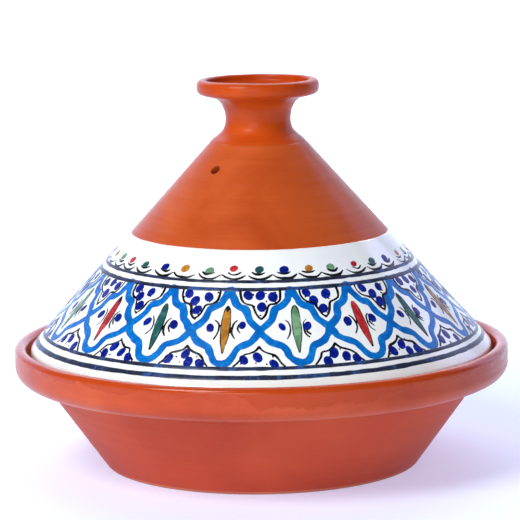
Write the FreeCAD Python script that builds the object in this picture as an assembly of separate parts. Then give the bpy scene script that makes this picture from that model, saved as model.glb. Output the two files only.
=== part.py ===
"""Tagine pot: a thrown clay dish with a heavy collar, and a conical lid that lifts off.

Millimetres. +Z is up, the dish stands on z = 0 and the front is -Y.
"""

import FreeCAD, Part
import math
import os

# Whole pot
DISH_DIAMETER = 310.0  # across the collar
POT_HEIGHT = 241.3  # floor to the top of the knob's lip

# Dish
FOOT_DIAMETER = 197.0
FOOT_ROUND = 2.5
DISH_HEIGHT = 76.6
BOWL_WALL = 8.0
BOWL_FLOOR = 9.0
BOWL_FLOOR_ROUND = 26.0
COLLAR_DEPTH = 22.6  # collar's crest down to the crease under it
COLLAR_OVERHANG = 18.0  # collar's face out from that crease
COLLAR_UNDER_RISE = 2.0  # how far the collar's underside climbs to its face
COLLAR_UNDER_ROUND = 9.5
COLLAR_CREST_ROUND = 3.5
COLLAR_INNER_ROUND = 3.8
COLLAR_WALL = 7.5  # crest of the collar beside the lid
SEAT_DEPTH = 10.6  # collar's crest down to the lid's seat
SEAT_ROUND = 2.0

# Lid
LID_RIM_HEIGHT = 8.4  # lid's underside up to the start of the cone
LID_RIM_WIDTH = 9.5
LID_RIM_ROUND = 3.2
LID_FOOT_ROUND = 1.2
LID_WALL = 7.5
CROWN = 8.0  # clay between the lid's hollow and its flat top
CROWN_ROUND = 10.0
VENT_DIAMETER = 6.0
VENT_DROP = 14.0  # lid's flat top down to the middle of the steam vent
VENT_BEARING = 39.5  # degrees from the front, towards -X

# Knob, a thrown cup stuck on the flat top of the lid
KNOB_HEIGHT = 38.3
KNOB_BASE_DIAMETER = 59.0
NECK_DIAMETER = 40.8
NECK_HEIGHT = 13.5  # knob's base up to the narrowest point
CUP_UNDERSIDE_DIAMETER = 56.0  # where the cup's underside runs straight to the lip
CUP_UNDERSIDE_RISE = 2.5  # how far that straight stretch climbs
CUP_DEPTH = 12.6
LIP_DIAMETER = 76.4
LIP_FACE = 8.7  # height of the band round the lip
LIP_THICKNESS = 6.2  # cup's mouth out to the face of that band
LIP_TOP_ROUND = 3.4
LIP_UNDER_ROUND = 4.0
LIP_INNER_ROUND = 1.6

# Glazes
WHITE_GLAZE = 0.4
WHITE_GLAZE_TOP_DROP = 56.6  # lid's flat top down to the edge of the white
WHITE_GLAZE_STOP = 2.0  # bare clay left above the lid's underside
LINING_GLAZE = 0.5
LINING_STOP = 3.0  # bare clay left below the seat

# Clearances
LID_SIDE_GAP = 3.0  # lid's edge to the collar, all round
SEAT_GAP = 0.3  # lid's underside above its seat

# Sizes that follow from those above
COLLAR_R = DISH_DIAMETER / 2
WELL_R = COLLAR_R - COLLAR_WALL
LID_R = WELL_R - LID_SIDE_GAP
CREASE_R = COLLAR_R - COLLAR_OVERHANG
CREASE_Z = DISH_HEIGHT - COLLAR_DEPTH
FOOT_R = FOOT_DIAMETER / 2
SEAT_Z = DISH_HEIGHT - SEAT_DEPTH
LID_Z = SEAT_Z + SEAT_GAP
CONE_Z = LID_Z + LID_RIM_HEIGHT
LID_TOP_Z = POT_HEIGHT - KNOB_HEIGHT
LID_TOP_R = KNOB_BASE_DIAMETER / 2
CONE_ANGLE = math.atan2(LID_TOP_Z - CONE_Z, LID_R - LID_TOP_R)
BOWL_ANGLE = math.atan2(CREASE_Z, CREASE_R - FOOT_R)


def point(r, z):
    return FreeCAD.Vector(r, 0, z)


def line(start, end):
    return Part.makeLine(start, end)


def curve(*poles):
    """A smooth curve that leaves and arrives along its first and last pair of poles."""
    bezier = Part.BezierCurve()
    bezier.setPoles(list(poles))
    return bezier.toShape()


def corner_arc(before, corner, after, radius):
    """The arc of the given radius that rounds a corner, as its start, middle and end."""
    to_before = (before - corner).normalize()
    to_after = (after - corner).normalize()
    half = to_before.getAngle(to_after) / 2
    back = radius / math.tan(half)
    bisector = (to_before + to_after).normalize()
    middle = corner + bisector * (radius / math.sin(half) - radius)
    return corner + to_before * back, middle, corner + to_after * back


def rounded_line(*corners):
    """Edges through (r, z) or (r, z, rounding) corners, from the first to the last."""
    places = [point(c[0], c[1]) for c in corners]
    edges, pen = [], places[0]
    for i in range(1, len(corners) - 1):
        if len(corners[i]) == 2:
            edges.append(line(pen, places[i]))
            pen = places[i]
            continue
        start, middle, end = corner_arc(places[i - 1], places[i], places[i + 1], corners[i][2])
        edges.append(line(pen, start))
        edges.append(Part.Arc(start, middle, end).toShape())
        pen = end
    edges.append(line(pen, places[-1]))
    return edges


def turned(edges):
    """The solid that a closed outline makes when it is turned about Z."""
    wire = Part.Wire(Part.__sortEdges__(edges))
    return Part.Face(wire).revolve(FreeCAD.Vector(0, 0, 0), FreeCAD.Vector(0, 0, 1), 360)


def bowl_inner_r(z, skin=0.0):
    """Radius of the dish's inner wall at a height, inside a skin of the given thickness."""
    outer = FOOT_R + z / math.tan(BOWL_ANGLE)
    return outer - (BOWL_WALL + skin) / math.sin(BOWL_ANGLE)


def bowl_lining(top_z, skin=0.0):
    """Corners of the dish's hollow from a height on its wall to the middle of its floor."""
    floor_z = BOWL_FLOOR + skin
    return [
        (bowl_inner_r(top_z, skin), top_z),
        (bowl_inner_r(floor_z, skin), floor_z, BOWL_FLOOR_ROUND - skin),
        (0, floor_z),
    ]


def make_dish():
    crest_fit = min(1, 0.98 * COLLAR_WALL / (COLLAR_CREST_ROUND + COLLAR_INNER_ROUND))
    outside = [
        (0, 0),
        (FOOT_R, 0, FOOT_ROUND),
        (CREASE_R, CREASE_Z),
        (COLLAR_R, CREASE_Z + COLLAR_UNDER_RISE, COLLAR_UNDER_ROUND),
        (COLLAR_R, DISH_HEIGHT, COLLAR_CREST_ROUND * crest_fit),
        (WELL_R, DISH_HEIGHT, COLLAR_INNER_ROUND * crest_fit),
        (WELL_R, SEAT_Z, SEAT_ROUND),
    ]
    top, *rest = bowl_lining(SEAT_Z)
    return turned(rounded_line(*outside, (*top, SEAT_ROUND), *rest, (0, 0)))


def make_lining_glaze():
    top_z = SEAT_Z - SEAT_ROUND - LINING_STOP
    clay_side = rounded_line(*bowl_lining(top_z))
    open_side = rounded_line(*bowl_lining(top_z, LINING_GLAZE))
    edge = line(point(bowl_inner_r(top_z), top_z), point(bowl_inner_r(top_z, LINING_GLAZE), top_z))
    middle = line(point(0, BOWL_FLOOR), point(0, BOWL_FLOOR + LINING_GLAZE))
    return turned([*clay_side, *open_side, edge, middle])


def cone_r(z, skin=0.0):
    """Radius of the lid's cone at a height, outside (or, below zero, inside) a skin."""
    return LID_R - (z - CONE_Z) / math.tan(CONE_ANGLE) + skin / math.sin(CONE_ANGLE)


def cone_z(r, skin=0.0):
    """Height of the lid's cone at a radius, with the same skin."""
    return CONE_Z + (LID_R - r) * math.tan(CONE_ANGLE) + skin / math.cos(CONE_ANGLE)


def make_vent():
    """The steam vent's drill, square to the cone and no deeper than its wall needs."""
    z = LID_TOP_Z - VENT_DROP
    bearing = math.radians(VENT_BEARING)
    out = FreeCAD.Vector(-math.sin(bearing), -math.cos(bearing), 0)
    square = out * math.sin(CONE_ANGLE) + FreeCAD.Vector(0, 0, math.cos(CONE_ANGLE))
    middle = out * cone_r(z) + FreeCAD.Vector(0, 0, z)
    return Part.makeCylinder(VENT_DIAMETER / 2, 2 * LID_WALL, middle - square * 1.5 * LID_WALL, square)


def make_lid_cone():
    rim_inner_r = LID_R - LID_RIM_WIDTH
    hollow_top_z = LID_TOP_Z - CROWN
    shape = turned(
        rounded_line(
            (0, LID_TOP_Z),
            (LID_TOP_R, LID_TOP_Z),
            (LID_R, CONE_Z, LID_RIM_ROUND),
            (LID_R, LID_Z, LID_FOOT_ROUND),
            (rim_inner_r, LID_Z, LID_FOOT_ROUND),
            (rim_inner_r, cone_z(rim_inner_r, -LID_WALL)),
            (cone_r(hollow_top_z, -LID_WALL), hollow_top_z, CROWN_ROUND),
            (0, hollow_top_z),
            (0, LID_TOP_Z),
        )
    )
    return shape.cut(make_vent())


def make_white_glaze():
    top_z = LID_TOP_Z - WHITE_GLAZE_TOP_DROP
    stop_z = LID_Z + WHITE_GLAZE_STOP
    outer_r = LID_R + WHITE_GLAZE
    top = point(cone_r(top_z), top_z)
    outer_top = (top.x + WHITE_GLAZE * math.sin(CONE_ANGLE), top.z + WHITE_GLAZE * math.cos(CONE_ANGLE))
    clay_side = rounded_line((top.x, top.z), (LID_R, CONE_Z, LID_RIM_ROUND), (LID_R, stop_z))
    open_side = rounded_line(
        outer_top, (outer_r, cone_z(outer_r, WHITE_GLAZE), LID_RIM_ROUND + WHITE_GLAZE), (outer_r, stop_z)
    )
    ends = [line(top, point(*outer_top)), line(point(LID_R, stop_z), point(outer_r, stop_z))]
    return turned([*clay_side, *open_side, *ends])


def make_knob():
    neck_r = NECK_DIAMETER / 2
    neck_z = LID_TOP_Z + NECK_HEIGHT
    lip_r = LIP_DIAMETER / 2
    lip_z = POT_HEIGHT - LIP_FACE
    under = point(CUP_UNDERSIDE_DIAMETER / 2, lip_z - CUP_UNDERSIDE_RISE)
    flare = under.z - neck_z
    along_under = (point(lip_r, lip_z) - under).normalize() * flare * 0.3
    cup_z = POT_HEIGHT - CUP_DEPTH
    mouth = point(lip_r - LIP_THICKNESS, POT_HEIGHT - 2 * LIP_INNER_ROUND)
    base = point(LID_TOP_R, LID_TOP_Z)
    up_cone = point(-math.cos(CONE_ANGLE), math.sin(CONE_ANGLE)) * NECK_HEIGHT * 0.4
    neck = point(neck_r, neck_z)
    lip = rounded_line(
        (under.x, under.z),
        (lip_r, lip_z, LIP_UNDER_ROUND),
        (lip_r, POT_HEIGHT, LIP_TOP_ROUND),
        (mouth.x, POT_HEIGHT, LIP_INNER_ROUND),
        (mouth.x, mouth.z),
    )
    return turned(
        [
            line(point(0, LID_TOP_Z), base),
            curve(base, base + up_cone, point(neck_r, neck_z - NECK_HEIGHT * 0.62), neck),
            curve(neck, point(neck_r, neck_z + flare * 0.55), under - along_under, under),
            *lip,
            curve(
                mouth,
                point(mouth.x - 0.5, mouth.z - (mouth.z - cup_z) * 0.3),
                point(mouth.x * 0.62, cup_z),
                point(0, cup_z),
            ),
            line(point(0, cup_z), point(0, LID_TOP_Z)),
        ]
    )


PIECES = {
    "dish_body": make_dish,
    "dish_lining_glaze": make_lining_glaze,
    "lid_cone": make_lid_cone,
    "lid_knob": make_knob,
    "lid_white_glaze": make_white_glaze,
}

os.makedirs("parts", exist_ok=True)
for name, make in PIECES.items():
    make().exportStep(os.path.join("parts", name + ".step"))
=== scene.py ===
"""Tagine pot: thrown red clay under clear glaze, with a white glazed band painted by hand.

Sizes are in millimetres in the shaping functions and in metres on the finished meshes.
Bearings are degrees round the pot, 0 at the front (-Y) and growing towards +X.
"""

import math

import bmesh
import bpy
import numpy as np
from mathutils import Matrix, Vector


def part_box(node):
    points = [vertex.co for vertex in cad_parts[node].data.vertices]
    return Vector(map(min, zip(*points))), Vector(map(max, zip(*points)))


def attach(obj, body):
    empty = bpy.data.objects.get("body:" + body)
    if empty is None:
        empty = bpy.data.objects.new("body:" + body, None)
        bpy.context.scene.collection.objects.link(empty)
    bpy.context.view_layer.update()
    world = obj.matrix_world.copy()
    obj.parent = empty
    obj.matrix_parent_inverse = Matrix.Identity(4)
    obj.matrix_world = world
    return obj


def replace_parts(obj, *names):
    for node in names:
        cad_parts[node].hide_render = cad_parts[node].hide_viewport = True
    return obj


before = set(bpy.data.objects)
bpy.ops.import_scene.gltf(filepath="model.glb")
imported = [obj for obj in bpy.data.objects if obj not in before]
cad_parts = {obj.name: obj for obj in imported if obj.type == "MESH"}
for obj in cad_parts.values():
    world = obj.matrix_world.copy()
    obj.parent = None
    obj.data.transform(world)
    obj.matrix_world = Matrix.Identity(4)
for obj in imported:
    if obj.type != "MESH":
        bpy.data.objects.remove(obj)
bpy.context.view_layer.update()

MM = 0.001
ROUND_STEPS = 480  # points round each turned piece
SHARP = math.radians(48)  # an edge sharper than this is shaded as an edge


# ---------------------------------------------------------------- sizes


def extent(node):
    """Outer radius, lowest and highest point of a CAD node, in mm."""
    low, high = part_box(node)
    return high.x / MM, low.z / MM, high.z / MM


COLLAR_R, DISH_FOOT_Z, COLLAR_TOP = extent("dish_body")
LID_R, LID_FOOT_Z, LID_TOP = extent("lid_cone")
KNOB_R, _, POT_TOP = extent("lid_knob")
GLAZED_R, WHITE_STOP, WHITE_TOP = extent("lid_white_glaze")
_, FLOOR_Z, LINING_TOP = extent("dish_lining_glaze")

# Dish
FOOT_R = 98.5
FOOT_ROUND = 2.5
CREASE_R, CREASE_Z = COLLAR_R - 18.0, COLLAR_TOP - 22.6  # where the collar overhangs the wall
CREASE_ROUND = 1.2
COLLAR_UNDER_RISE = 2.0
COLLAR_UNDER_ROUND = 9.5
COLLAR_CREST_ROUND = 3.5
COLLAR_INNER_ROUND = 3.8
WELL_R = COLLAR_R - 7.5
SEAT_Z = COLLAR_TOP - 10.6
SEAT_ROUND = 2.0
FLOOR_ROUND = 26.0
BOWL_WALL = 8.0
LINING_THICK, LINING_SUNK = 0.5, 0.1  # coat proud of the wall, and its hidden side inside it

# Lid
LID_WALL = 7.5
LID_RIM_WIDTH = 9.5
LID_FOOT_ROUND = 1.2
LID_RIM_ROUND = 3.2
LID_INNER_ROUND = 1.5
CROWN = 8.0  # clay between the lid's hollow and its flat top
CROWN_ROUND = 10.0
CONE_Z = LID_FOOT_Z + 8.4
CONE_TOP_R = 29.5
WHITE_TURN = 2.4  # start of the cone up to where the white coat turns down over the rim
WHITE_SUNK = 0.12  # its hidden side inside the clay
VENT_R = 3.0
VENT_DROP = 14.0
VENT_BEARING = -39.5
VENT_SOFT = 1.3  # how far the mouth of the vent is rounded

# Knob
NECK_R, NECK_HEIGHT = 20.4, 13.5
UNDERSIDE_R, UNDERSIDE_RISE = 28.0, 2.5  # where the cup's underside runs straight to the lip
CUP_DEPTH = 12.6
LIP_FACE = 8.7
LIP_THICKNESS = 6.2
LIP_DROP = 3.2  # lip's top down to where the hollow's curve starts
LIP_UNDER_ROUND, LIP_TOP_ROUND, LIP_INNER_ROUND = 4.0, 3.4, 1.6

WHITE_THICK = GLAZED_R - LID_R
CONE_LEAN = math.atan2(LID_TOP - CONE_Z, LID_R - CONE_TOP_R)
SLANT = 1 / math.sin(CONE_LEAN)  # length along the cone for each unit of height
BOWL_LEAN = math.atan2(CREASE_Z, CREASE_R - FOOT_R)


def cone_radius(z, lift=0.0):
    return LID_R - (z - CONE_Z) / math.tan(CONE_LEAN) + lift / math.sin(CONE_LEAN)


def bowl_radius(z, lift=0.0):
    return FOOT_R + z / math.tan(BOWL_LEAN) - (BOWL_WALL + lift) / math.sin(BOWL_LEAN)


# ---------------------------------------------------------------- throwing


def outline(*corners, step=1.3):
    """Points along the line through (r, z) or (r, z, rounding) corners."""
    points = [np.array(corners[0][:2], float)]

    def run_to(end):
        start = points[-1]
        count = max(1, round(float(np.hypot(*(end - start))) / step))
        points.extend(start + (end - start) * k / count for k in range(1, count + 1))

    for before, corner, after in zip(corners, corners[1:], corners[2:]):
        middle = np.array(corner[:2], float)
        if len(corner) == 2:
            run_to(middle)
            continue
        radius = corner[2]
        back = np.array(before[:2], float) - middle
        on = np.array(after[:2], float) - middle
        back, on = back / np.hypot(*back), on / np.hypot(*on)
        half = math.acos(float(np.clip(back @ on, -1, 1))) / 2
        centre = middle + (back + on) / np.hypot(*(back + on)) * radius / math.sin(half)
        start, end = (middle + side * radius / math.tan(half) for side in (back, on))
        run_to(start)
        first = math.atan2(*(start - centre)[::-1])
        sweep = (math.atan2(*(end - centre)[::-1]) - first + math.pi) % (2 * math.pi) - math.pi
        count = max(5, round(abs(sweep) * radius / step))
        for k in range(1, count + 1):
            angle = first + sweep * k / count
            points.append(centre + radius * np.array([math.cos(angle), math.sin(angle)]))
    run_to(np.array(corners[-1][:2], float))
    return np.array(points)


def bow(start, leave, arrive, end, count=14):
    """Points on a smooth curve that leaves towards one point and arrives from another."""
    t = np.linspace(0, 1, count)[:, None]
    a, b, c, d = (np.array(p, float) for p in (start, leave, arrive, end))
    return a * (1 - t) ** 3 + 3 * b * t * (1 - t) ** 2 + 3 * c * t**2 * (1 - t) + d * t**3


def joined(*stretches):
    """Stretches of outline end to end, with the points they share kept once."""
    return np.vstack([stretches[0]] + [s[1:] for s in stretches[1:]])


BEARINGS = np.arange(ROUND_STEPS) * 360.0 / ROUND_STEPS


def finger_rings(along, bearing, seed, depth):
    """The fine spiral that a thrower's fingers leave, in mm, along a wall and round it."""
    chance = np.random.default_rng(seed)
    turn = np.radians(bearing)
    marks = 0.0
    for pitch, share in ((2.1, 0.18), (3.4, 0.3), (5.3, 0.34), (8.7, 0.5), (14.0, 0.4)):
        phase, sway = chance.uniform(0, 2 * math.pi, 2)
        spiral = turn + 0.7 * np.sin(turn + sway) + 0.35 * np.sin(2 * turn + phase)
        swell = 0.65 + 0.35 * np.sin(3 * turn + sway + along / 19.0)
        marks = marks + share * swell * np.sin(2 * math.pi * along / pitch + phase + spiral)
    return depth * marks


def out_of_true(bearing, seed, amount, along=0.0):
    """The slow unevenness of a pot lifted off the wheel by hand, in mm."""
    chance = np.random.default_rng(seed)
    turn = np.radians(bearing)
    shift = 0.0
    for waves, share in ((2, 1.0), (3, 0.6), (5, 0.35), (9, 0.16), (14, 0.1)):
        phase, lag = chance.uniform(0, 2 * math.pi, 2)
        shift = shift + share * np.cos(waves * turn + phase + along / 40.0 + 0.4 * np.sin(turn + lag))
    return amount * shift


def between(value, low, high):
    """0 below low, 1 above high and smooth in between."""
    t = np.clip((value - low) / (high - low), 0, 1)
    return t * t * (3 - 2 * t)


def lid_marks(z, bearing):
    """How far the lid's outside stands off its true cone, in mm."""
    bare = between(z, 140.0, 150.0)
    rings = finger_rings(z * SLANT, bearing, 11, 0.03 + 0.09 * bare)
    rings = rings * (1 - 0.6 * between(z, LID_TOP + 22, LID_TOP + 32))
    return (rings + out_of_true(bearing, 12, 0.13, z)) * between(z, LID_FOOT_Z + 1.5, CONE_Z + 4)


def spun(points, marks):
    """An outline at every bearing, with marks in mm pressed out along its own normal."""
    steps = np.diff(points, axis=0)
    steps /= np.hypot(steps[:, 0], steps[:, 1])[:, None]
    before, after = np.vstack([steps[:1], steps]), np.vstack([steps, steps[-1:]])
    steeper = np.where((np.abs(before[:, 1]) > np.abs(after[:, 1]))[:, None], before, after)
    along = np.where(((before * after).sum(1) < 0.8)[:, None], steeper, before + after)
    along /= np.hypot(along[:, 0], along[:, 1])[:, None]
    r, z = points[None, :, 0], points[None, :, 1]
    push = marks(r, z, BEARINGS[:, None]) * np.ones((ROUND_STEPS, len(points)))
    push *= np.minimum(1.0, r / 12.0)
    radii = np.where(r < 1e-6, 0.0, r + push * along[None, :, 1])
    return radii, z - push * along[None, :, 0]


def placed(radii, heights, bearings):
    turn = np.radians(bearings)
    return np.stack([radii * np.sin(turn), -radii * np.cos(turn), heights], -1).reshape(-1, 3) * MM


def shaped(name, points, faces, finishes):
    """A smooth-shaded mesh object in the scene."""
    mesh = bpy.data.meshes.new(name)
    mesh.from_pydata(np.asarray(points).tolist(), [], faces)
    for finish in finishes:
        mesh.materials.append(finish)
    mesh.polygons.foreach_set("use_smooth", [True] * len(mesh.polygons))
    made = bpy.data.objects.new(name, mesh)
    bpy.context.scene.collection.objects.link(made)
    return made


def solid(name, points, faces, finishes, body, picks=None):
    """A mesh piece that rides on a body, with picks choosing each face's finish."""
    piece = shaped(name, points, faces, finishes)
    if picks is not None:
        piece.data.polygons.foreach_set("material_index", picks)
    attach(piece, body)
    return piece


def turned(name, radii, heights, finishes, body, loop=False, pick=None):
    """A turned piece from its radii and heights at every bearing and outline point.

    A loop's outline closes on itself. Any other stays open between its ends, and its
    points on the axis are welded. pick gives each outline stretch the number of its finish.
    """
    rounds, points = radii.shape
    here = np.arange(rounds)[:, None] * points
    there = (np.arange(rounds)[:, None] + 1) % rounds * points
    step = np.arange(points if loop else points - 1)[None, :]
    on = (step + 1) % points
    quads = np.stack([here + step, there + step, there + on, here + on], -1).reshape(-1, 4)
    picks = np.tile(pick if pick is not None else np.zeros(step.shape[1], int), rounds)
    piece = solid(
        name,
        placed(radii, heights, BEARINGS[:, None] * np.ones_like(radii)),
        quads.tolist(),
        finishes,
        body,
        picks,
    )
    if not loop:
        shell = bmesh.new()
        shell.from_mesh(piece.data)
        shell.verts.ensure_lookup_table()
        on_axis = [v for v in shell.verts if math.hypot(v.co.x, v.co.y) < 1e-7]
        bmesh.ops.remove_doubles(shell, verts=on_axis, dist=1e-6)
        shell.to_mesh(piece.data)
        shell.free()
    piece.data.set_sharp_from_angle(angle=SHARP)
    return piece


# ---------------------------------------------------------------- finishes


def srgb(red, green, blue):
    """A screen colour, 0 to 255, as the shader wants it."""
    scaled = [c / 255 for c in (red, green, blue)]
    return tuple(c / 12.92 if c <= 0.04045 else ((c + 0.055) / 1.055) ** 2.4 for c in scaled) + (1.0,)


def node(tree, kind, feeds=None, **settings):
    """A shader node; each feed is a socket to join or a value to set, by input name or number."""
    made = tree.nodes.new(kind)
    for key, value in settings.items():
        setattr(made, key, value)
    for key, value in (feeds or {}).items():
        if isinstance(value, bpy.types.NodeSocket):
            tree.links.new(value, made.inputs[key])
        else:
            made.inputs[key].default_value = value
    return made


def worked(tree, operation, first, second=0.0):
    return node(tree, "ShaderNodeMath", {0: first, 1: second}, operation=operation).outputs[0]


def times(tree, first, second):
    return worked(tree, "MULTIPLY", first, second)


def mixed(tree, first, first_share, second, second_share):
    """Two values added, each by its share."""
    return worked(tree, "ADD", times(tree, first, first_share), times(tree, second, second_share))


def sized(tree, where, size):
    return node(tree, "ShaderNodeVectorMath", {0: where, "Scale": size}, operation="SCALE").outputs[0]


def ramp(tree, value, *stops):
    """A value or colour picked by position: stops are (position, colour or grey)."""
    made = node(tree, "ShaderNodeValToRGB", {0: value})
    scale = made.color_ramp
    while len(scale.elements) < len(stops):
        scale.elements.new(0.5)
    for element, (position, shade) in zip(scale.elements, stops):
        element.position = position
        element.color = shade if isinstance(shade, tuple) else (shade, shade, shade, 1.0)
    return made.outputs[0]


def blend(tree, share, first, second):
    return node(tree, "ShaderNodeMix", {0: share, 6: first, 7: second}, data_type="RGBA").outputs[2]


def stretch(tree, value, from_low, from_high, to_low=0.0, to_high=1.0):
    feeds = {0: value, 1: from_low, 2: from_high, 3: to_low, 4: to_high}
    return node(tree, "ShaderNodeMapRange", feeds, interpolation_type="SMOOTHSTEP").outputs[0]


def effect(name, inputs, outputs):
    """An empty node group with named sockets, and its two ends."""
    group = bpy.data.node_groups.new(name, "ShaderNodeTree")
    for socket, value in inputs.items():
        made = group.interface.new_socket(socket, in_out="INPUT", socket_type="NodeSocketFloat")
        made.default_value = value
    for socket in outputs:
        group.interface.new_socket(socket, in_out="OUTPUT", socket_type="NodeSocketFloat")
    return group, group.nodes.new("NodeGroupInput").outputs, group.nodes.new("NodeGroupOutput").inputs


def used(tree, group, **feeds):
    """A placed copy of an effect, with its own values, as its outputs."""
    made = node(tree, "ShaderNodeGroup", node_tree=group)
    for key, value in feeds.items():
        made.inputs[key.replace("_", " ")].default_value = value
    return made.outputs


def place_on_pot(tree):
    return node(tree, "ShaderNodeTexCoord").outputs["Object"]


def noise(tree, where, scale, detail=3.0, roughness=0.55, **feeds):
    feeds = {"Vector": where, "Scale": scale, "Detail": detail, "Roughness": roughness, **feeds}
    return node(tree, "ShaderNodeTexNoise", feeds).outputs["Fac"]


def round_and_up(tree, where):
    """Distance from the pot's axis, and height."""
    parts = node(tree, "ShaderNodeSeparateXYZ", {0: where}).outputs
    across = worked(tree, "SQRT", mixed(tree, parts[0], parts[0], parts[1], parts[1]))
    return across, parts[2]


def make_clay_grain():
    """Fine grit and the odd dark or pale speck in the clay."""
    group, given, out = effect("clay grain", {"Scale": 1.0, "Specks": 0.5}, ("Tone", "Specks", "Height"))
    where = place_on_pot(group)
    place = sized(group, where, given["Scale"])
    fine = noise(group, place, 1400.0, 4.0, 0.7)
    coarse = noise(group, place, 420.0, 3.0, 0.6)
    grit = node(group, "ShaderNodeTexVoronoi", {"Vector": place, "Scale": 520.0, "Randomness": 1.0})
    speck = stretch(group, grit.outputs["Distance"], 0.05, 0.17, 1.0, 0.0)
    rare = stretch(group, noise(group, place, 160.0, 2.0), 0.52, 0.66)
    speck = times(group, times(group, speck, rare), given["Specks"])
    tone = mixed(group, fine, 0.5, coarse, 0.5)
    group.links.new(tone, out["Tone"])
    group.links.new(speck, out["Specks"])
    group.links.new(worked(group, "SUBTRACT", tone, times(group, speck, 0.3)), out["Height"])
    return group


def make_wheel_lines():
    """Hair-fine lines round the pot from the sponge and the turning tool."""
    group, given, out = effect("wheel lines", {"Fineness": 1.0, "Waver": 1.0}, ("Tone", "Height"))
    where = place_on_pot(group)
    across, up = round_and_up(group, where)
    sway = noise(group, where, 9.0, 2.0)
    sway = times(group, times(group, sway, 0.004), given["Waver"])
    place = node(group, "ShaderNodeCombineXYZ", {
        0: times(group, worked(group, "ADD", across, sway), given["Fineness"]),
        1: times(group, worked(group, "ADD", up, sway), given["Fineness"]),
        2: times(group, sway, 2.0),
    }).outputs[0]
    broad = noise(group, place, 160.0, 2.0, 0.5)
    fine = noise(group, place, 900.0, 3.0, 0.65)
    both = mixed(group, broad, 0.55, fine, 0.45)
    group.links.new(both, out["Tone"])
    group.links.new(both, out["Height"])
    return group


def make_kiln_clouds():
    """Slow drifts of tone from the kiln's flame, and small pinholes in the glaze."""
    group, given, out = effect("kiln clouds", {"Size": 1.0}, ("Tone", "Pinholes"))
    where = place_on_pot(group)
    tone = noise(group, sized(group, where, given["Size"]), 17.0, 4.0, 0.5, Distortion=0.6)
    holes = node(group, "ShaderNodeTexVoronoi", {"Vector": where, "Scale": 150.0, "Randomness": 1.0})
    hole = stretch(group, holes.outputs["Distance"], 0.02, 0.07, 1.0, 0.0)
    rare = stretch(group, noise(group, where, 60.0, 1.0), 0.56, 0.62)
    group.links.new(tone, out["Tone"])
    group.links.new(times(group, hole, rare), out["Pinholes"])
    return group


def make_glaze_ripple():
    """The soft orange-peel of a fired glaze."""
    group, given, out = effect("glaze ripple", {"Size": 1.0}, ("Height",))
    where = place_on_pot(group)
    place = sized(group, where, given["Size"])
    slow = noise(group, place, 70.0, 2.0, 0.5)
    quick = noise(group, place, 330.0, 2.0, 0.5)
    group.links.new(mixed(group, slow, 0.7, quick, 0.3), out["Height"])
    return group


def make_brush_load():
    """Where a loaded brush leaves colour thick, thin or streaked."""
    group, given, out = effect("brush load", {"Streak": 0.5, "Pool Size": 1.0}, ("Load", "Height"))
    where = place_on_pot(group)
    pool_scale = times(group, given["Pool Size"], 120.0)
    pools = noise(group, where, pool_scale, 3.0, 0.6, Distortion=0.8)
    hairs = node(group, "ShaderNodeMapping", {"Vector": where, "Scale": (1.0, 1.0, 4.0)}).outputs[0]
    streaks = noise(group, hairs, 650.0, 3.0, 0.6)
    streaks = times(group, streaks, given["Streak"])
    group.links.new(mixed(group, pools, 0.75, streaks, 0.5), out["Load"])
    group.links.new(worked(group, "ADD", pools, times(group, streaks, 0.4)), out["Height"])
    return group


CLAY_GRAIN = make_clay_grain()
WHEEL_LINES = make_wheel_lines()
KILN_CLOUDS = make_kiln_clouds()
GLAZE_RIPPLE = make_glaze_ripple()
BRUSH_LOAD = make_brush_load()


def new_finish(name, roughness, coat=0.0, coat_roughness=0.05, mirror=0.5):
    finish = bpy.data.materials.new(name)
    finish.use_nodes = True
    shader = finish.node_tree.nodes["Principled BSDF"]
    shader.inputs["Roughness"].default_value = roughness
    shader.inputs["Coat Weight"].default_value = coat
    shader.inputs["Coat Roughness"].default_value = coat_roughness
    shader.inputs["Specular IOR Level"].default_value = mirror
    return finish, finish.node_tree, shader


def raised(tree, height, distance, strength, under=None):
    feeds = {"Height": height, "Distance": distance, "Strength": strength}
    if under is not None:
        feeds["Normal"] = under
    return node(tree, "ShaderNodeBump", feeds).outputs[0]


def red_glaze(name, light, middle, dark, roughness, coat):
    """Red clay seen through clear glaze."""
    finish, tree, shader = new_finish(name, roughness, coat, 0.1, 0.14)
    clouds = used(tree, KILN_CLOUDS, Size=1.0)
    lines = used(tree, WHEEL_LINES, Fineness=1.0, Waver=1.0)
    grain = used(tree, CLAY_GRAIN, Scale=1.0, Specks=0.7)
    base = ramp(tree, clouds["Tone"], (0.3, dark), (0.5, middle), (0.72, light))
    base = blend(tree, stretch(tree, lines["Tone"], 0.3, 0.7, 0.0, 0.32), base, dark)
    base = blend(tree, stretch(tree, grain["Tone"], 0.35, 0.7, 0.0, 0.14), base, light)
    base = blend(tree, times(tree, grain["Specks"], 0.5), base, srgb(92, 34, 18))
    tree.links.new(base, shader.inputs["Base Color"])
    rough = stretch(tree, clouds["Tone"], 0.3, 0.75, roughness - 0.06, roughness + 0.1)
    tree.links.new(rough, shader.inputs["Roughness"])
    ripple = used(tree, GLAZE_RIPPLE, Size=1.0)
    normal = raised(tree, lines["Height"], 0.00025, 0.55)
    normal = raised(tree, ripple["Height"], 0.0006, 0.4, normal)
    tree.links.new(normal, shader.inputs["Normal"])
    return finish


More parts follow.
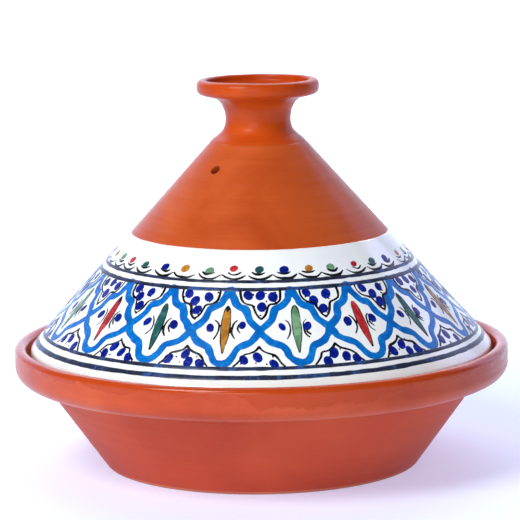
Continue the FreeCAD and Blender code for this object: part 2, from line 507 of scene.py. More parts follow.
def dish_glaze():
    """The dish's clay: glossy round the collar, and dry and paler towards its foot."""
    light, middle, dark = srgb(209, 90, 48), srgb(196, 75, 37), srgb(170, 57, 25)
    finish, tree, shader = new_finish("dish red glaze", 0.35, 0.1, 0.12, 0.16)
    where = place_on_pot(tree)
    parts = node(tree, "ShaderNodeSeparateXYZ", {0: where}).outputs
    up, turn = parts[2], worked(tree, "ARCTAN2", parts[0], times(tree, parts[1], -1.0))
    clouds = used(tree, KILN_CLOUDS, Size=0.9)
    lines = used(tree, WHEEL_LINES, Fineness=0.8, Waver=1.4)
    grain = used(tree, CLAY_GRAIN, Scale=0.9, Specks=0.8)
    collar = stretch(tree, up, 0.046, 0.058)
    run = times(tree, stretch(tree, turn, -0.07, 0.0), stretch(tree, turn, 0.08, 0.75, 1.0, 0.0))
    wander = stretch(tree, noise(tree, where, 26.0, 4.0, 0.6), 0.3, 0.7, 0.0755, 0.0685)
    edge = worked(tree, "SUBTRACT", wander, times(tree, run, 0.009))
    glazed = stretch(tree, worked(tree, "SUBTRACT", up, edge), -0.0005, 0.0006)
    base = ramp(tree, clouds["Tone"], (0.3, dark), (0.5, middle), (0.72, light))
    base = blend(tree, stretch(tree, lines["Tone"], 0.3, 0.7, 0.0, 0.3), base, dark)
    base = blend(tree, stretch(tree, grain["Tone"], 0.35, 0.7, 0.0, 0.2), base, light)
    dry = blend(tree, 0.45, base, srgb(197, 74, 52))
    base = blend(tree, collar, dry, base)
    base = blend(tree, times(tree, glazed, 0.75), base, srgb(184, 62, 8))
    base = blend(tree, times(tree, grain["Specks"], 0.5), base, srgb(92, 34, 18))
    tree.links.new(base, shader.inputs["Base Color"])
    gloss = mixed(tree, collar, 0.6, glazed, 0.4)
    tree.links.new(stretch(tree, gloss, 0.0, 1.0, 0.52, 0.2), shader.inputs["Roughness"])
    tree.links.new(stretch(tree, gloss, 0.0, 1.0, 0.0, 0.3), shader.inputs["Coat Weight"])
    ripple = used(tree, GLAZE_RIPPLE, Size=0.8)
    normal = raised(tree, lines["Height"], 0.0003, 0.6)
    normal = raised(tree, grain["Height"], 0.0001, 0.35, normal)
    normal = raised(tree, ripple["Height"], 0.0007, 0.4, normal)
    tree.links.new(raised(tree, glazed, 0.00015, 0.8, normal), shader.inputs["Normal"])
    return finish


def bare_clay():
    """Unglazed red clay, dry and gritty."""
    finish, tree, shader = new_finish("bare red clay", 0.85)
    clouds = used(tree, KILN_CLOUDS, Size=1.3)
    lines = used(tree, WHEEL_LINES, Fineness=0.7, Waver=1.5)
    grain = used(tree, CLAY_GRAIN, Scale=0.8, Specks=1.0)
    base = ramp(tree, clouds["Tone"], (0.3, srgb(186, 98, 68)), (0.7, srgb(214, 132, 98)))
    base = blend(tree, stretch(tree, grain["Tone"], 0.3, 0.7, 0.0, 0.35), base, srgb(226, 152, 120))
    base = blend(tree, stretch(tree, lines["Tone"], 0.35, 0.7, 0.0, 0.4), base, srgb(164, 80, 54))
    base = blend(tree, times(tree, grain["Specks"], 0.7), base, srgb(96, 52, 38))
    tree.links.new(base, shader.inputs["Base Color"])
    tree.links.new(stretch(tree, grain["Tone"], 0.3, 0.7, 0.78, 0.94), shader.inputs["Roughness"])
    normal = raised(tree, lines["Height"], 0.0004, 0.8)
    normal = raised(tree, grain["Height"], 0.0003, 0.7, normal)
    tree.links.new(normal, shader.inputs["Normal"])
    return finish


def white_glaze():
    """Opaque white glaze: a little cool where thick, warm where the clay grins through."""
    finish, tree, shader = new_finish("white glaze", 0.16, 0.5, 0.04)
    clouds = used(tree, KILN_CLOUDS, Size=1.4)
    grain = used(tree, CLAY_GRAIN, Scale=0.5, Specks=0.8)
    ripple = used(tree, GLAZE_RIPPLE, Size=0.9)
    where = place_on_pot(tree)
    up = node(tree, "ShaderNodeSeparateXYZ", {0: where}).outputs[2]
    cool, plain, warm = srgb(244, 248, 252), srgb(250, 254, 254), srgb(252, 253, 250)
    base = ramp(tree, clouds["Tone"], (0.32, cool), (0.55, plain), (0.75, warm))
    thin = stretch(tree, up, WHITE_TOP * MM - 0.0014, WHITE_TOP * MM + 0.0002, 0.0, 0.75)
    thin = times(tree, thin, stretch(tree, ripple["Height"], 0.3, 0.7, 0.5, 1.0))
    base = blend(tree, thin, base, srgb(196, 136, 120))
    base = blend(tree, times(tree, grain["Specks"], 0.3), base, srgb(120, 110, 116))
    base = blend(tree, times(tree, clouds["Pinholes"], 0.5), base, srgb(150, 92, 70))
    tree.links.new(base, shader.inputs["Base Color"])
    tree.links.new(stretch(tree, clouds["Tone"], 0.3, 0.75, 0.12, 0.22), shader.inputs["Roughness"])
    normal = raised(tree, ripple["Height"], 0.0008, 0.35)
    tree.links.new(raised(tree, clouds["Pinholes"], -0.0002, 0.5, normal), shader.inputs["Normal"])
    return finish


def paint(name, thin, body, thick, pool=1.0):
    """A brushed ceramic colour, from where it lies thin to where it pools."""
    finish, tree, shader = new_finish(name, 0.22, 0.1, 0.05, 0.22)
    load = used(tree, BRUSH_LOAD, Streak=0.6, Pool_Size=pool)
    grain = used(tree, CLAY_GRAIN, Scale=1.2, Specks=0.5)
    base = ramp(tree, load["Load"], (0.32, thin), (0.5, body), (0.7, thick))
    base = blend(tree, stretch(tree, grain["Tone"], 0.4, 0.7, 0.0, 0.12), base, thin)
    tree.links.new(base, shader.inputs["Base Color"])
    tree.links.new(stretch(tree, load["Load"], 0.3, 0.75, 0.32, 0.18), shader.inputs["Roughness"])
    ripple = used(tree, GLAZE_RIPPLE, Size=1.2)
    normal = raised(tree, load["Height"], 0.00008, 0.5)
    tree.links.new(raised(tree, ripple["Height"], 0.0005, 0.3, normal), shader.inputs["Normal"])
    return finish


# ---------------------------------------------------------------- clay pieces

CONE_RED = red_glaze("lid red glaze", srgb(205, 95, 42), srgb(194, 83, 34), srgb(172, 66, 24), 0.34, 0.08)
KNOB_RED = red_glaze("knob red glaze", srgb(206, 86, 22), srgb(195, 72, 15), srgb(170, 55, 9), 0.32, 0.06)
LINING_RED = red_glaze("lining glaze", srgb(206, 88, 34), srgb(184, 68, 22), srgb(150, 48, 14), 0.16, 0.6)
DISH_RED = dish_glaze()
BARE = bare_clay()
WHITE = white_glaze()


def throw_dish():
    """Foot, conical wall, heavy collar, the seat inside it and the hollow, in one wall."""
    points = outline(
        (0, 0),
        (FOOT_R, 0, FOOT_ROUND),
        (CREASE_R, CREASE_Z, CREASE_ROUND),
        (COLLAR_R, CREASE_Z + COLLAR_UNDER_RISE, COLLAR_UNDER_ROUND),
        (COLLAR_R, COLLAR_TOP, COLLAR_CREST_ROUND),
        (WELL_R, COLLAR_TOP, COLLAR_INNER_ROUND),
        (WELL_R, SEAT_Z, SEAT_ROUND),
        (bowl_radius(SEAT_Z), SEAT_Z, SEAT_ROUND),
        (bowl_radius(FLOOR_Z), FLOOR_Z, FLOOR_ROUND),
        (0, FLOOR_Z),
    )

    def marks(r, z, bearing):
        outside = r > bowl_radius(z) + BOWL_WALL / 2
        wall = finger_rings(z * 1.2, bearing, 21, 0.1) * between(z, 3.0, 7.0)
        collar = out_of_true(bearing, 22, 0.16, z) * between(z, 40.0, 56.0)
        seat = between(np.abs(z - SEAT_Z), 0.5, 3.0)
        return np.where(outside, (wall + collar) * seat, -0.1 * seat)

    radii, heights = spun(points, marks)
    r, z = points[:-1, 0], points[:-1, 1]
    inside = np.arange(len(r)) > np.argmax(points[:, 1])
    bare = (z < 1.2) | (inside & (z < SEAT_Z + 3.0))
    dish = turned("dish", radii, heights, [DISH_RED, BARE], "dish", pick=bare.astype(int))
    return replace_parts(dish, "dish_body")


def coat_dish():
    """The clear glaze coat on the dish's inside. Its two sides are not joined at the top."""

    def coat(lift):
        return outline(
            (bowl_radius(LINING_TOP, lift), LINING_TOP),
            (bowl_radius(FLOOR_Z + lift, lift), FLOOR_Z + lift, FLOOR_ROUND - lift),
            (0, FLOOR_Z + lift),
        )

    def marks(r, z, bearing):
        return finger_rings(r + z, bearing, 31, 0.12) * between(LINING_TOP - z, 0, 4)

    radii, heights = spun(coat(LINING_THICK), marks)
    under, floor = spun(coat(-LINING_SUNK), lambda r, z, bearing: 0.0 * z)
    radii = np.hstack([radii, under[:, ::-1]])[:, ::-1]
    heights = np.hstack([heights, floor[:, ::-1]])[:, ::-1]
    lining = turned("dish_lining", radii, heights, [LINING_RED], "dish")
    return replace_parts(lining, "dish_lining_glaze")


def pierce(lid):
    """Push the steam vent through the wall, square to it, with a softly rounded mouth."""
    height = LID_TOP - VENT_DROP
    deep, proud, round_steps = LID_WALL + 5, 3.0, 40
    run = [(0.0, -deep), (VENT_R, -deep), (VENT_R, -VENT_SOFT)]
    for a in np.radians(np.arange(18, 91, 18)):
        run.append((VENT_R + 1.0 - math.cos(a), -VENT_SOFT + VENT_SOFT * math.sin(a)))
    run += [(VENT_R + 1.9, 0.45), (VENT_R + 1.9, proud), (0.0, proud)]
    turn = np.arange(round_steps) * 2 * math.pi / round_steps
    wobble = 1 + 0.035 * np.cos(2 * turn + 0.7) + 0.02 * np.cos(3 * turn)
    points = [(0.0, 0.0, run[0][1] * MM)]
    for r, depth in run[1:-1]:
        for a, w in zip(turn, wobble):
            points.append((r * w * math.cos(a) * MM, r * w * math.sin(a) * MM, depth * MM))
    points.append((0.0, 0.0, run[-1][1] * MM))
    last, faces = len(points) - 1, []
    for k in range(round_steps):
        on = (k + 1) % round_steps
        faces.append((0, 1 + on, 1 + k))
        for ring in range(len(run) - 3):
            low, high = 1 + ring * round_steps, 1 + (ring + 1) * round_steps
            faces.append((low + k, low + on, high + on, high + k))
        faces.append((last - round_steps + k, last - round_steps + on, last))
    drill = shaped("vent drill", points, faces, [CONE_RED])
    turn = math.radians(VENT_BEARING)
    out_x, out_y = math.sin(turn), -math.cos(turn)
    square = Vector((out_x * math.sin(CONE_LEAN), out_y * math.sin(CONE_LEAN), math.cos(CONE_LEAN)))
    r = cone_radius(height) * MM
    drill.location = (r * out_x, r * out_y, height * MM)
    drill.rotation_euler = square.to_track_quat("Z", "X").to_euler()
    cut = lid.modifiers.new("vent", "BOOLEAN")
    cut.object, cut.operation, cut.solver = drill, "DIFFERENCE", "EXACT"
    bpy.context.view_layer.update()
    pierced = bpy.data.meshes.new_from_object(lid.evaluated_get(bpy.context.evaluated_depsgraph_get()))
    lid.modifiers.clear()
    plain, lid.data = lid.data, pierced
    pierced.set_sharp_from_angle(angle=SHARP)
    bpy.data.objects.remove(drill)
    bpy.data.meshes.remove(plain)


def throw_lid():
    """The lid's cone, closed at the top, with its rim and its steam vent."""
    rim_r = LID_R - LID_RIM_WIDTH
    hollow_z = LID_TOP - CROWN
    inner_rim_z = CONE_Z + (LID_R - rim_r) * math.tan(CONE_LEAN) - LID_WALL / math.cos(CONE_LEAN)
    points = outline(
        (0, hollow_z),
        (cone_radius(hollow_z, -LID_WALL), hollow_z, CROWN_ROUND),
        (rim_r, inner_rim_z, LID_INNER_ROUND),
        (rim_r, LID_FOOT_Z, LID_FOOT_ROUND),
        (LID_R, LID_FOOT_Z, LID_FOOT_ROUND),
        (LID_R, CONE_Z, LID_RIM_ROUND),
        (CONE_TOP_R, LID_TOP),
        (0, LID_TOP),
    )

    def marks(r, z, bearing):
        outside = r > cone_radius(z, -LID_WALL / 2)
        inner = finger_rings(z * 1.3, bearing, 41, 0.16) * between(z, LID_FOOT_Z + 3, LID_FOOT_Z + 10)
        top = between(r, CONE_TOP_R - 8, CONE_TOP_R)
        return np.where(outside, lid_marks(z, bearing) * np.where(z < LID_TOP, 1.0, top), inner)

    radii, heights = spun(points, marks)
    inside = np.arange(len(points) - 1) < np.argmin(points[:, 1]) + 12
    pick = inside.astype(int)
    lid = turned("lid_cone_thrown", radii, heights, [CONE_RED, BARE], "lid", pick=pick)
    pierce(lid)
    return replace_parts(lid, "lid_cone")


def throw_knob():
    """The cup on top: a neck that grows out of the cone, a flared cup and a banded lip."""
    neck_z = LID_TOP + NECK_HEIGHT
    lip_z = POT_TOP - LIP_FACE
    mouth_r, mouth_z = KNOB_R - LIP_THICKNESS, POT_TOP - LIP_DROP
    under_z = lip_z - UNDERSIDE_RISE
    flare = under_z - neck_z
    cup_z = POT_TOP - CUP_DEPTH
    rise = NECK_HEIGHT * 0.4
    up_cone = (CONE_TOP_R - math.cos(CONE_LEAN) * rise, LID_TOP + math.sin(CONE_LEAN) * rise)
    arrive = (UNDERSIDE_R - flare * 0.29, under_z - flare * 0.07)
    points = joined(
        outline((0, LID_TOP), (CONE_TOP_R, LID_TOP)),
        bow((CONE_TOP_R, LID_TOP), up_cone, (NECK_R, neck_z - 8.4), (NECK_R, neck_z), 18),
        bow((NECK_R, neck_z), (NECK_R, neck_z + flare * 0.55), arrive, (UNDERSIDE_R, under_z), 16),
        outline(
            (UNDERSIDE_R, under_z),
            (KNOB_R, lip_z, LIP_UNDER_ROUND),
            (KNOB_R, POT_TOP, LIP_TOP_ROUND),
            (mouth_r, POT_TOP, LIP_INNER_ROUND),
            (mouth_r, mouth_z),
            step=0.8,
        ),
        bow((mouth_r, mouth_z), (mouth_r - 0.5, mouth_z - 2.8), (mouth_r * 0.62, cup_z), (0, cup_z), 34),
    )

    def marks(r, z, bearing):
        cup = finger_rings(r * 1.1, bearing, 51, 0.14) + 0.5 * out_of_true(bearing, 12, 0.13, z)
        in_cup = (r < mouth_r + 0.6) & (z > cup_z - 0.5) & (r < z - neck_z + 17.0)
        floor = np.where(z > LID_TOP, 1.0, between(r, CONE_TOP_R - 8, CONE_TOP_R))
        return np.where(in_cup, cup, lid_marks(z, bearing) * floor)

    radii, heights = spun(points, marks)
    knob = turned("knob_thrown", radii, heights, [KNOB_RED], "lid")
    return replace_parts(knob, "lid_knob")


def white_edge(bearing):
    """Height of the white coat's hand-laid upper edge."""
    return WHITE_TOP - 0.5 + out_of_true(bearing, 61, 0.22)


def coat_lid():
    """The white glaze: feathered at its upper edge and gathered into a bead at the rim."""
    top = white_edge(BEARINGS)[:, None]
    turn_z = CONE_Z + WHITE_TURN
    down = np.concatenate([np.linspace(0, 1, 9) ** 2 * 0.03, np.linspace(0.03, 1, 78)[1:]])[None, :]
    z = top + (turn_z - top) * down

    def cone_at(lift):
        push = lid_marks(z, BEARINGS[:, None]) + lift
        return cone_radius(z) + push * math.sin(CONE_LEAN), z + push * math.cos(CONE_LEAN)

    outer_r, outer_z = cone_at(WHITE_THICK * (1 - np.exp(-(top - z) / 0.7)))
    under_r, under_z = cone_at(-WHITE_SUNK)
    rim = outline(
        (cone_radius(turn_z), turn_z), (LID_R, CONE_Z, LID_RIM_ROUND), (LID_R, WHITE_STOP), step=0.8
    )[1:]
    along = np.gradient(rim, axis=0)
    along /= np.hypot(along[:, 0], along[:, 1])[:, None]
    bead = WHITE_THICK * np.minimum(1.0, ((rim[:, 1] - WHITE_STOP) / 0.5) ** 0.5)
    true = lid_marks(rim[None, :, 1], BEARINGS[:, None])

    def rim_at(lift):
        push = true + lift
        return rim[None, :, 0] - push * along[None, :, 1], rim[None, :, 1] + push * along[None, :, 0]

    rim_outer, rim_under = rim_at(bead[None, :]), rim_at(-WHITE_SUNK)
    radii = np.hstack([outer_r, rim_outer[0], rim_under[0][:, ::-1], under_r[:, ::-1]])
    heights = np.hstack([outer_z, rim_outer[1], rim_under[1][:, ::-1], under_z[:, ::-1]])
    coat = turned("white_coat", radii[:, ::-1], heights[:, ::-1], [WHITE], "lid", loop=True)
    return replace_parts(coat, "lid_white_glaze")


# ---------------------------------------------------------------- painting

ROWS, COLUMNS = 200, 1800
BAND_Z = np.linspace(76.9, 138.9, ROWS)
BAND_BEARING = np.arange(COLUMNS) * 360.0 / COLUMNS
CLEAR = 9.0  # mm to the nearest stroke, before any is laid
MEDALLIONS = 18
DOTS = 37
hand = np.random.default_rng(2024)

# Colour: its name, how thick it lies in mm, and its screen shades from thin to pooled
PAINTS = {
    "cerulean": ("cerulean", 0.08, (0, 134, 214), (0, 110, 196), (0, 86, 172)),
    "cobalt": ("cobalt", 0.16, (4, 44, 162), (0, 26, 136), (0, 14, 100)),
    "black": ("black", 0.22, (30, 30, 42), (12, 12, 20), (4, 4, 8)),
    "slate": ("blue-black", 0.20, (44, 104, 190), (44, 48, 66), (24, 26, 38)),
    "red": ("red", 0.11, (212, 74, 70), (190, 40, 44), (150, 24, 34)),
    "ochre": ("ochre", 0.11, (206, 148, 58), (182, 122, 40), (140, 84, 26)),
    "light_green": ("light green", 0.11, (140, 182, 142), (104, 152, 112), (72, 118, 84)),
    "dark_green": ("dark green", 0.11, (60, 124, 116), (34, 92, 90), (20, 60, 64)),
}
LAYERS = {colour: np.full((ROWS, COLUMNS), CLEAR) for colour in PAINTS}
LEAF_ORDER = ("light_green", "red", "dark_green", "ochre")
DOT_ORDER = ("red", "dark_green", "cobalt", "ochre", "light_green")


def flowing(points):
    """More points on the smooth line through the given ones."""
    points = np.asarray(points, float)
    padded = np.vstack([2 * points[0] - points[1], points, 2 * points[-1] - points[-2]])
    smooth = []
    for a, b, c, d in zip(padded, padded[1:], padded[2:], padded[3:]):
        for t in np.arange(5) / 5:
            bend = (2 * a - 5 * b + 4 * c - d) * t**2 + (3 * b - a - 3 * c + d) * t**3
            smooth.append(0.5 * (2 * b + (c - a) * t + bend))
    return np.array(smooth + [points[-1]])


def brush(colour, bearing, points):
    """A stroke through (degrees from the bearing, height, width in mm) points."""
    points = flowing(points) if len(points) > 2 else np.asarray(points, float)
    reach = points[:, 2].max() / 2 + 2.0
    wide = math.degrees(reach / cone_radius(points[:, 1].max()))
    rows = np.flatnonzero((BAND_Z > points[:, 1].min() - reach) & (BAND_Z < points[:, 1].max() + reach))
    first = math.floor((bearing + points[:, 0].min() - wide) * COLUMNS / 360)
    last = math.ceil((bearing + points[:, 0].max() + wide) * COLUMNS / 360)
    steps = np.arange(first, last + 1)
    z = BAND_Z[rows][:, None]
    x = np.radians(steps * 360.0 / COLUMNS - bearing)[None, :] * cone_radius(z)
    y = z * SLANT * np.ones_like(x)
    px, py = np.radians(points[:, 0]) * cone_radius(points[:, 1]), points[:, 1] * SLANT
    width = points[:, 2] / 2
    window = np.ix_(rows, steps % COLUMNS)
    field = LAYERS[colour][window]
    for k in range(len(points) - 1):
        dx, dy = px[k + 1] - px[k], py[k + 1] - py[k]
        t = np.clip(((x - px[k]) * dx + (y - py[k]) * dy) / max(dx * dx + dy * dy, 1e-9), 0, 1)
        away = np.hypot(x - px[k] - t * dx, y - py[k] - t * dy)
        field = np.minimum(field, away - (width[k] + (width[k + 1] - width[k]) * t))
    LAYERS[colour][window] = field


def shaken(points, amount=0.12):
    """The same stroke by a hand that never repeats itself; widths vary a little too."""
    points = np.array(points, float)
    points[:, 0] += hand.normal(0, amount, len(points))
    points[:, 1] += hand.normal(0, amount * 1.4, len(points))
    points[:, 2] *= hand.uniform(0.9, 1.1, len(points))
    return points


def mirrored(points, side):
    return [(side * degrees, height, width) for degrees, height, width in points]


def berry(bearing, degrees, height, size, tall):
    """A round dab with the small tail the brush leaves as it lifts."""
    lean = hand.uniform(-0.35, 0.35)
    size *= hand.uniform(0.9, 1.08)
    long = (tall - 1.0) * size / 2 / SLANT + 0.25
    tail = hand.choice([-1, 1]) * 0.8
    brush("cobalt", bearing, [
        (degrees - lean, height - long, size * 0.9),
        (degrees, height, size),
        (degrees + lean, height + long, size * 0.82),
    ])
    brush("cobalt", bearing, [
        (degrees, height, size * 0.7),
        (degrees + tail * 0.9, height - size * 0.42 * hand.uniform(0.8, 1.2), 0.7),
    ])


def speck(bearing, degrees, height):
    brush("black", bearing, [
        (degrees, height, hand.uniform(1.0, 1.5)),
        (degrees + hand.uniform(-0.3, 0.3), height + hand.uniform(-0.4, 0.4), hand.uniform(0.8, 1.1)),
    ])


# Strokes: (degrees from the middle, height, width in mm)
UPPER_FRAME = ((0.4, 124.6, 4.8), (0.9, 122.4, 4.8), (1.6, 119.9, 4.7), (2.4, 117.7, 4.7),
               (3.7, 116.0, 4.8), (5.3, 115.1, 4.9), (6.0, 113.5, 4.8), (6.25, 111.5, 4.8),
               (6.8, 109.3, 4.8), (7.8, 107.3, 4.8), (9.0, 105.4, 4.8), (10.0, 104.1, 4.9))
LOWER_FRAME = ((10.0, 104.1, 4.9), (9.3, 101.6, 4.8), (8.5, 99.8, 4.9), (7.2, 97.8, 5.0), (5.6, 96.3, 5.1),
               (4.2, 95.2, 5.0), (3.4, 93.2, 4.8), (3.0, 91.2, 4.7), (2.4, 89.2, 4.8), (1.5, 87.6, 4.9),
               (0.15, 86.9, 4.9))
HANGING = ((6.7, 124.8, 1.6), (6.6, 121.8, 1.6), (5.95, 119.3, 1.5), (4.65, 117.6, 1.6), (2.85, 116.9, 1.7),
           (2.15, 115.1, 1.6), (1.6, 112.6, 1.5), (0.8, 110.7, 1.5), (0.0, 109.5, 1.6))
STANDING = ((6.4, 85.6, 1.4), (5.5, 87.3, 1.5), (4.8, 89.2, 1.5), (4.0, 91.3, 1.6), (2.35, 92.2, 1.6),
            (0.95, 93.6, 1.5), (0.0, 95.3, 1.7))
RIGHT_BERRY = (3.2, 4.1, 3.1, 3.7, 4.4, 4.0, 4.7, 4.9)  # how far right of each leaf in turn
HANGING_BERRIES = (
    ((-4.3, 122.3), (0.0, 122.4), (4.2, 121.6), (0.2, 116.5)),
    ((-4.4, 123.1), (1.9, 121.5), (-2.4, 118.8), (0.0, 114.1)),
    ((-4.4, 122.8), (2.8, 121.5), (-1.3, 119.2), (0.2, 114.6)),
)
STANDING_BERRIES = (
    ((-4.0, 89.3), (-0.4, 90.7), (3.5, 87.2)),
    ((-1.0, 91.4), (-3.4, 87.4), (2.0, 89.2), (4.9, 87.3)),
    ((-3.9, 88.9), (0.0, 91.4), (1.3, 87.6), (4.4, 87.2)),
)
HANGING_SPECKS = ((-2.2, 121.4), (2.1, 122.9), (-5.6, 120.6), (2.4, 118.6), (-1.9, 116.2), (0.2, 111.6),
                  (5.3, 123.6))
HOLDING_ARC = ((3.15, 109.0, 0.9), (2.3, 107.3, 1.2), (1.95, 104.7, 1.3), (2.1, 102.0, 1.2),
               (3.05, 99.6, 0.9))
SWAG = ((-4.4, 132.6, 0.9), (-2.7, 131.0, 1.5), (-0.2, 130.3, 1.9), (2.2, 130.8, 1.8), (4.3, 132.4, 1.0))
STANDING_SPECKS = ((-2.2, 89.4), (1.4, 93.2), (-5.3, 86.9), (3.2, 90.3), (1.5, 86.4), (-1.2, 87.2))


def paint_lattice(centres, crossings):
    """Broad blue strokes that cross between the medallions and close above and below them."""
    for n, centre in enumerate(centres):
        for side, crossing in ((1, crossings[(n + 1) % MEDALLIONS]), (-1, crossings[n])):
            span = (side * (crossing - centre)) % 360 / 10.0
            for run in (UPPER_FRAME, LOWER_FRAME):
                points = shaken(run, 0.09)
                end = 0 if run is LOWER_FRAME else -1
                points[end, :2] = run[end][:2]
                points[:, 0] *= side * span
                brush("cerulean", centre, points)


def paint_cartouches(crossings):
    """The two small framed clusters of berries above and below each crossing."""
    for n, crossing in enumerate(crossings):
        tilt = hand.normal(0, 0.25)
        for side in (1, -1):
            brush("black", crossing + tilt, mirrored(shaken(HANGING, 0.1), side))
            brush("black", crossing - tilt, mirrored(shaken(STANDING, 0.1), side))
        for degrees, height in HANGING_BERRIES[n % 3]:
            place = degrees + hand.normal(0, 0.15), height - 0.4 + hand.normal(0, 0.2)
            berry(crossing + tilt, *place, 5.8, 1.2)
        for degrees, height in STANDING_BERRIES[n % 3]:
            place = degrees + hand.normal(0, 0.15), height - 0.4 + hand.normal(0, 0.2)
            berry(crossing - tilt, *place, 5.6, 1.3)
        for specks in (HANGING_SPECKS, STANDING_SPECKS):
            for degrees, height in specks:
                if hand.uniform() < 0.72:
                    speck(crossing, degrees + hand.normal(0, 0.4), height + hand.normal(0, 0.5))


def paint_medallion(centre, colour, berry_at):
    """A long leaf between two berries, with thin brush arcs holding them apart."""
    lean = hand.normal(0, 0.3)
    leaf = [
        (lean, 115.8, 1.6), (lean * 0.8, 113.6, 3.8), (lean * 0.4, 108.4, 5.2), (0.0, 103.6, 5.3),
        (-lean * 0.4, 99.2, 4.2), (-lean * 0.8, 95.3, 2.2), (-lean, 92.1, 0.5),
    ]
    brush(colour, centre, leaf)
    for side in (1, -1):
        edge = [(d + side * math.degrees(w / 2 / cone_radius(h)), h, 0.75) for d, h, w in leaf]
        brush("black", centre, edge)
    if hand.uniform() < 0.6:
        brush("black", centre, [(lean, 116.2, 1.2), (lean * 0.8, 114.4, 2.0), (lean * 0.6, 112.9, 0.7)])
    left_z, right_z = 105.6 + hand.normal(0, 0.5, 2)
    berry(centre, -4.5 + hand.normal(0, 0.15), left_z, 5.1, 1.25)
    berry(centre, berry_at, right_z, 5.0, 1.22)
    for side in (1, -1):
        brush("black", centre, mirrored(shaken(HOLDING_ARC, 0.09), side))
    tail = [(-0.7, 0.9, 1.0), (-1.2, -0.7, 1.3), (-1.2, -2.4, 1.3), (-0.5, -4.0, 1.0)]
    if berry_at < 3.8:
        tail = [(-0.4, -2.0, 1.0), (-0.35, -3.1, 1.4), (0.4, -4.3, 1.0)]
    brush("black", centre, shaken([(berry_at + d, right_z + z, w) for d, z, w in tail], 0.05))


def paint_dots_and_swags():
    """A row of coloured dots, each cradled by a hanging arc and a short stroke."""
    for n in range(DOTS):
        turn = n if n < DOTS / 2 else n - DOTS
        bearing = -10.2 + n * 360.0 / DOTS + hand.normal(0, 0.45)
        height = 135.1 + hand.normal(0, 0.35)
        colour = DOT_ORDER[turn % 5]
        size = (5.5 if colour == "cobalt" else 4.8) * hand.uniform(0.92, 1.1)
        brush(colour, bearing, [(-0.2, height - 0.15, size), (0.25, height + 0.2, size * 0.93)])
        brush("black", bearing + 0.2, shaken(SWAG))
        if hand.uniform() < 0.9:
            side = hand.choice([-1, 1])
            cup = [(-1.9, 133.7, 0.8), (-0.4, 133.0, 1.5), (1.3, 133.0, 1.8), (2.7, 133.8, 1.1)]
            brush("black", bearing, shaken(mirrored(cup, side)))


def paint_rings():
    """Four blue-black rings, run round on the wheel with a loaded brush."""
    rings = ((129.1, 2.4, 0.0), (125.0, 2.8, 0.0), (84.45, 2.6, 0.1), (79.95, 3.3, 0.6))
    for seed, (height, width, tilt) in enumerate(rings):
        wave = height + tilt * np.sin(np.radians(BAND_BEARING)) + out_of_true(BAND_BEARING, 70 + seed, 0.07)
        swell = width / 2 * (1 + out_of_true(BAND_BEARING, 80 + seed, 0.04))
        ring = np.abs(BAND_Z[:, None] - wave[None, :]) * SLANT - swell[None, :]
        LAYERS["slate"] = np.minimum(LAYERS["slate"], ring)


def tremor(seed, reach, amount):
    """Smooth unevenness over the whole band, in mm, with no seam at the back."""
    rough = np.random.default_rng(seed).normal(size=(ROWS, COLUMNS))
    rows, columns = np.fft.fftfreq(ROWS)[:, None], np.fft.rfftfreq(COLUMNS)[None, :]
    soft = np.exp(-((rows**2 + columns**2) * (reach * math.pi) ** 2))
    smooth = np.fft.irfft2(np.fft.rfft2(rough) * soft, s=(ROWS, COLUMNS))
    return smooth / smooth.std() * amount


def raise_paint(name, layer, thick, finish):
    """A closed, domed skin of colour wherever a layer's distance is below zero."""
    inside = layer < 0
    right, right_in = np.roll(layer, -1, 1), np.roll(inside, -1, 1)
    z = np.broadcast_to(BAND_Z[:, None], layer.shape)
    bearing = np.broadcast_to(BAND_BEARING[None, :], layer.shape)
    crossing_h = inside != right_in
    crossing_v = inside[:-1] != inside[1:]
    core = np.full(layer.shape, -1)
    core[inside] = np.arange(inside.sum())
    count = int(inside.sum())
    edge_h = np.full(layer.shape, -1)
    edge_h[crossing_h] = count + np.arange(crossing_h.sum())
    count += int(crossing_h.sum())
    edge_v = np.full(crossing_v.shape, -1)
    edge_v[crossing_v] = count + np.arange(crossing_v.sum())
    count += int(crossing_v.sum())

    share_h = (layer / np.where(crossing_h, layer - right, 1.0))[crossing_h]
    share_v = (layer[:-1] / np.where(crossing_v, layer[:-1] - layer[1:], 1.0))[crossing_v]
    step_z, step_bearing = BAND_Z[1] - BAND_Z[0], 360.0 / COLUMNS
    all_z = np.concatenate([z[inside], z[crossing_h], z[:-1][crossing_v] + share_v * step_z])
    on_h = bearing[crossing_h] + share_h * step_bearing
    all_bearing = np.concatenate([bearing[inside], on_h, bearing[:-1][crossing_v]])
    dome = thick * (1 - np.exp(layer[inside] / 0.28))
    lift = np.concatenate([dome, np.full(len(all_z) - len(dome), -0.03)])
    back_z, back_bearing = all_z[: len(dome)], all_bearing[: len(dome)]
    all_z, all_bearing = np.concatenate([all_z, back_z]), np.concatenate([all_bearing, back_bearing])
    lift = np.concatenate([lift, np.full(len(dome), -0.1)]) + WHITE_THICK + lid_marks(all_z, all_bearing)
    radii = cone_radius(all_z) + lift * math.sin(CONE_LEAN)
    points = placed(radii, all_z + lift * math.cos(CONE_LEAN), all_bearing)

    cells = np.stack([
        core[:-1], edge_h[:-1], np.roll(core, -1, 1)[:-1], np.roll(edge_v, -1, 1),
        np.roll(core, -1, 1)[1:], edge_h[1:], core[1:], edge_v,
    ], -1).reshape(-1, 8)
    cells = cells[(cells >= 0).any(1)].tolist()
    outer = [[v for v in cell if v >= 0] for cell in cells]
    outer = [face for face in outer if len(face) > 2]
    back = [[v + count if v < len(dome) else v for v in reversed(face)] for face in outer]
    return solid(name, points, outer + back, [finish], "lid")


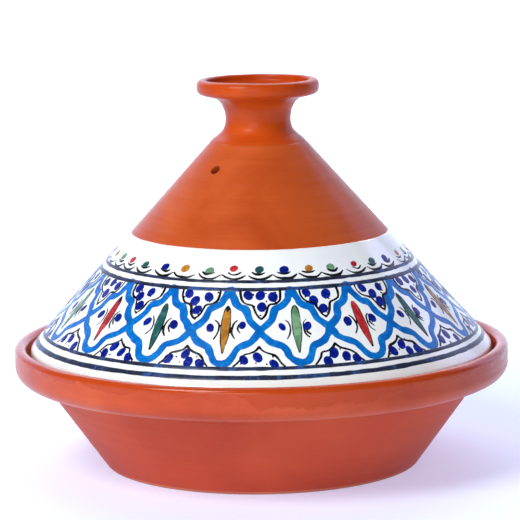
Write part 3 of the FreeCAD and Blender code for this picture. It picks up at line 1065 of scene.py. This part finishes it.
def drifted(bearings):
    """Where places set out by eye end up: a slow drift round the pot and a little scatter."""
    turn = np.radians(bearings)
    return bearings + 0.9 * np.sin(turn) - 1.9 * (1 - np.cos(turn)) + hand.normal(0, 0.2, len(bearings))


def paint_band():
    centres = drifted(10.0 + np.arange(MEDALLIONS) * 20.0)
    crossings = drifted(np.arange(MEDALLIONS) * 20.0)
    paint_lattice(centres, crossings)
    paint_cartouches(crossings)
    for n, centre in enumerate(centres):
        turn = n if n < MEDALLIONS / 2 else n - MEDALLIONS
        paint_medallion(centre, LEAF_ORDER[turn % 4], RIGHT_BERRY[turn % 8])
    paint_dots_and_swags()
    paint_rings()
    shake = tremor(5, 7.0, 0.10)
    for colour, (name, thick, *shades) in PAINTS.items():
        pool = 0.5 if colour == "slate" else 1.0
        finish = paint(name + " paint", *(srgb(*shade) for shade in shades), pool)
        raise_paint("paint_" + colour, LAYERS[colour] + shake, thick, finish)


throw_dish()
coat_dish()
throw_lid()
throw_knob()
coat_lid()
paint_band()


# ---------------------------------------------------------------- studio


def lay_floor():
    """A pale, softly glowing sweep: flat under the pot and curving up behind it."""
    finish, tree, shader = new_finish("light table", 0.9)
    where = place_on_pot(tree)
    base = ramp(tree, noise(tree, where, 3.0, 3.0), (0.3, srgb(208, 221, 238)), (0.7, srgb(214, 226, 241)))
    shader.inputs["Emission Color"].default_value = (0.66, 0.70, 1.0, 1.0)
    shader.inputs["Emission Strength"].default_value = 0.54
    tree.links.new(base, shader.inputs["Base Color"])
    tree.links.new(raised(tree, noise(tree, where, 900.0), 0.0002, 0.1), shader.inputs["Normal"])
    reach, back, bend = 6.0, 2.4, 1.2
    run = [(-reach, 0.0)]
    for a in np.radians(np.arange(0, 91, 6)):
        run.append((back + bend * math.sin(a), bend - bend * math.cos(a)))
    run.append((back + bend, 5.0))
    points = [(side * reach, y, z + DISH_FOOT_Z * MM) for y, z in run for side in (-1, 1)]
    faces = [(2 * k, 2 * k + 1, 2 * k + 3, 2 * k + 2) for k in range(len(run) - 1)]
    floor = shaped("floor", points, faces, [finish])


def lamp(name, place, target, width, height, power, tint):
    light = bpy.data.lights.new(name, "AREA")
    light.shape = "RECTANGLE"
    light.size, light.size_y = width, height
    light.energy, light.color = power, tint
    made = bpy.data.objects.new(name, light)
    made.location = place
    made.rotation_euler = (Vector(target) - Vector(place)).to_track_quat("-Z", "Y").to_euler()
    bpy.context.scene.collection.objects.link(made)
    return made


def light_studio():
    world = bpy.data.worlds.new("studio")
    bpy.context.scene.world = world
    world.use_nodes = True
    world.node_tree.nodes["Background"].inputs["Color"].default_value = (0.97, 0.97, 1.0, 1.0)
    world.node_tree.nodes["Background"].inputs["Strength"].default_value = 0.10
    middle = (0.0, 0.0, POT_TOP * MM / 2)
    lamp("key", (-1.1, -1.3, 1.6), middle, 1.0, 1.0, 38.0, (1.0, 0.985, 0.96))
    lamp("front", (-0.6, -2.1, 0.55), middle, 1.2, 0.6, 11.0, (1.0, 0.99, 0.97))
    lamp("rim", (1.5, 1.0, 0.7), middle, 0.8, 1.2, 4.5, (0.55, 0.55, 1.0))
    lamp("back", (0.0, 1.1, 2.1), (0.0, 0.7, 0.0), 2.4, 1.0, 15.0, (1.0, 1.0, 1.0))
    lamp("far", (0.0, 2.6, 2.0), (0.0, 2.9, 0.2), 3.6, 1.2, 46.0, (1.0, 1.0, 1.0))


def set_camera():
    """A long lens a little above the pot, tipped down onto its middle."""
    lens = bpy.data.cameras.new("camera")
    lens.sensor_width = 36.0
    lens.lens = 190.26
    camera = bpy.data.objects.new("camera", lens)
    tip = Matrix.Rotation(math.radians(90 - 9.014), 4, "X")
    roll = Matrix.Rotation(math.radians(-0.804), 4, "Z")
    camera.matrix_world = Matrix.Translation((0.0, -1.706, 0.3978)) @ tip @ roll
    bpy.context.scene.collection.objects.link(camera)
    bpy.context.scene.camera = camera


lay_floor()
light_studio()
set_camera()
bpy.context.scene.view_settings.view_transform = "Standard"
